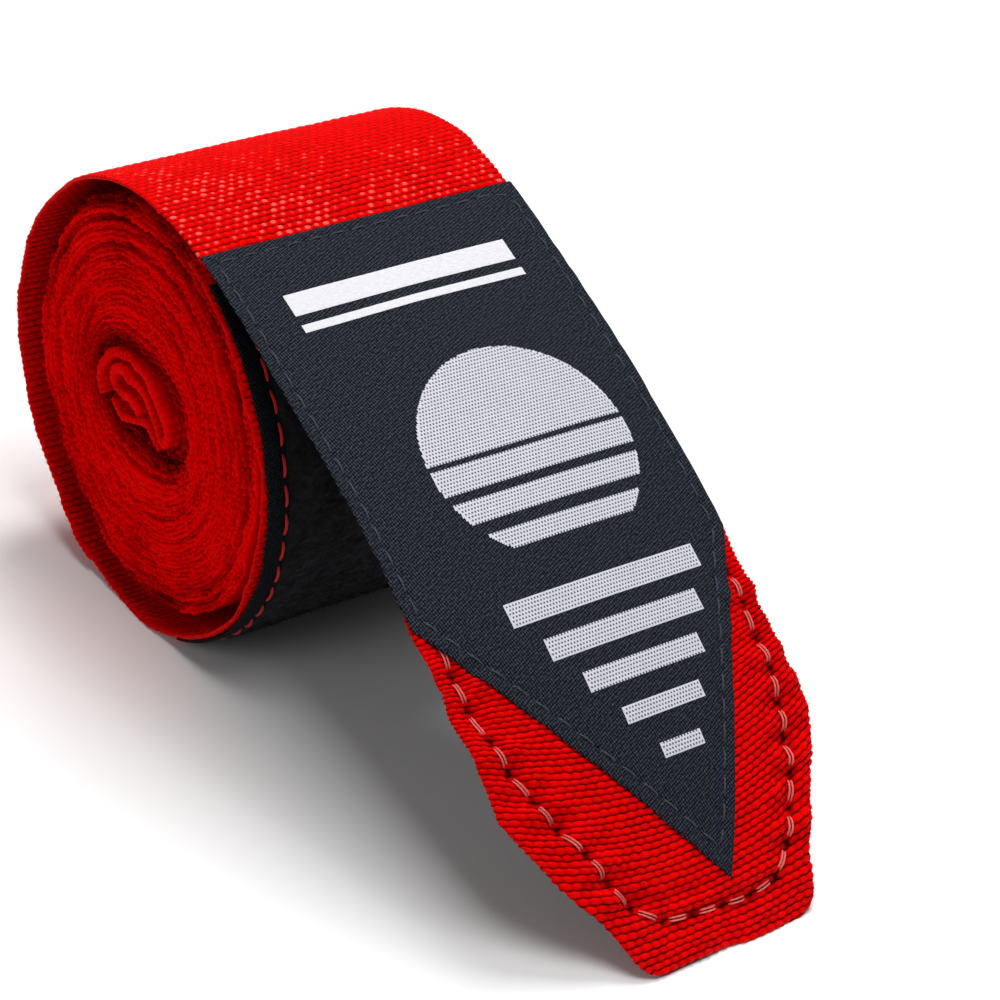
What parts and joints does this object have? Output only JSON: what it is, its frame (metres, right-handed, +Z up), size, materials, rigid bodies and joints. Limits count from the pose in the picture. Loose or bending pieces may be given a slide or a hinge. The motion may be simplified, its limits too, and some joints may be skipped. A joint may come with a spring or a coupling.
{
  "type": "hand wrap",
  "caption": "Rolled boxing hand wrap: long elastic cotton tape wound flat, with an open closing tail that carries a pointed woven label and a hook panel, and a loop panel on the turn under it.",
  "frame": {"origin": "on the ground, middle of the flat strip the soft roll rests on, half way across the tape", "axes": "+X along the roll's axis (across the tape), -Y the way the open tail leaves, +Z up"},
  "size_m": [0.05, 0.1341, 0.0654],
  "materials": {
    "red_tape": "coarse plain weave with cross ribs",
    "label_satin": "satin weave",
    "loop_pile": "brushed loop pile",
    "hook_tape": "moulded hook field",
    "red_thread": "twisted thread",
    "pink_thread": "twisted thread",
    "black_thread": "twisted thread"
  },
  "bodies": {
    "roll": {"loop_panel": "loop_pile", "loop_panel_stitching": "red_thread", "tape_roll": "red_tape", "thumb_loop": "red_tape", "thumb_loop_tack": "red_thread"},
    "tail_1": {"hook_panel_1": "hook_tape", "label_1": "label_satin", "label_stitching_1": "black_thread", "tail_tape_1": "red_tape"},
    "tail_2": {"hook_panel_2": "hook_tape", "label_2": "label_satin", "label_stitching_2": "black_thread", "tail_tape_2": "red_tape"},
    "tail_3": {"hook_panel_3": "hook_tape", "label_3": "label_satin", "label_stitching_3": "black_thread", "tail_tape_3": "red_tape"},
    "tail_4": {"hook_panel_4": "hook_tape", "label_4": "label_satin", "label_stitching_4": "black_thread", "tail_tape_4": "red_tape"},
    "tail_5": {"hook_panel_5": "hook_tape", "hook_stitching_5": "pink_thread", "label_5": "label_satin", "label_stitching_5": "black_thread", "tail_tape_5": "red_tape"},
    "tail_6": {"hook_panel_6": "hook_tape", "hook_stitching_6": "pink_thread", "label_6": "label_satin", "label_stitching_6": "black_thread", "tail_tape_6": "red_tape"},
    "tail_7": {"hook_panel_7": "hook_tape", "hook_stitching_7": "pink_thread", "label_7": "label_satin", "label_stitching_7": "black_thread", "tail_tape_7": "red_tape"},
    "tail_8": {"hook_panel_8": "hook_tape", "hook_stitching_8": "pink_thread", "label_8": "label_satin", "label_stitching_8": "black_thread", "tail_tape_8": "red_tape"}
  },
  "joints": [
    {"name": "tail_lift", "type": "hinge", "parent": "roll", "child": "tail_1", "pos_m": [0, -0.01256, 0.06289], "axis": [1, 0, 0], "range_deg": [-105, 10.1]},
    {"name": "tail_curl_2", "type": "hinge", "parent": "tail_1", "child": "tail_2", "pos_m": [0, -0.0252, 0.05745], "axis": [1, 0, 0], "range_deg": [-9, 20.2]},
    {"name": "tail_curl_3", "type": "hinge", "parent": "tail_2", "child": "tail_3", "pos_m": [0, -0.03752, 0.05133], "axis": [1, 0, 0], "range_deg": [-9.02, 20.22]},
    {"name": "tail_curl_4", "type": "hinge", "parent": "tail_3", "child": "tail_4", "pos_m": [0, -0.04949, 0.04453], "axis": [1, 0, 0], "range_deg": [-9.02, 20.22]},
    {"name": "tail_curl_5", "type": "hinge", "parent": "tail_4", "child": "tail_5", "pos_m": [0, -0.06105, 0.03708], "axis": [1, 0, 0], "range_deg": [-9.02, 20.22]},
    {"name": "tail_curl_6", "type": "hinge", "parent": "tail_5", "child": "tail_6", "pos_m": [0, -0.07219, 0.029], "axis": [1, 0, 0], "range_deg": [-8.71, 19.53]},
    {"name": "tail_curl_7", "type": "hinge", "parent": "tail_6", "child": "tail_7", "pos_m": [0, -0.08277, 0.02019], "axis": [1, 0, 0], "range_deg": [-8.41, 18.84]},
    {"name": "tail_curl_8", "type": "hinge", "parent": "tail_7", "child": "tail_8", "pos_m": [0, -0.09261, 0.01058], "axis": [1, 0, 0], "range_deg": [-8.41, 18.84]}
  ],
  "couplings": [
    {"joint": "tail_curl_3", "follows": "tail_curl_2", "ratio": 1},
    {"joint": "tail_curl_4", "follows": "tail_curl_2", "ratio": 1},
    {"joint": "tail_curl_5", "follows": "tail_curl_2", "ratio": 1},
    {"joint": "tail_curl_6", "follows": "tail_curl_2", "ratio": 0.9659},
    {"joint": "tail_curl_7", "follows": "tail_curl_2", "ratio": 0.9319},
    {"joint": "tail_curl_8", "follows": "tail_curl_2", "ratio": 0.9319}
  ]
}
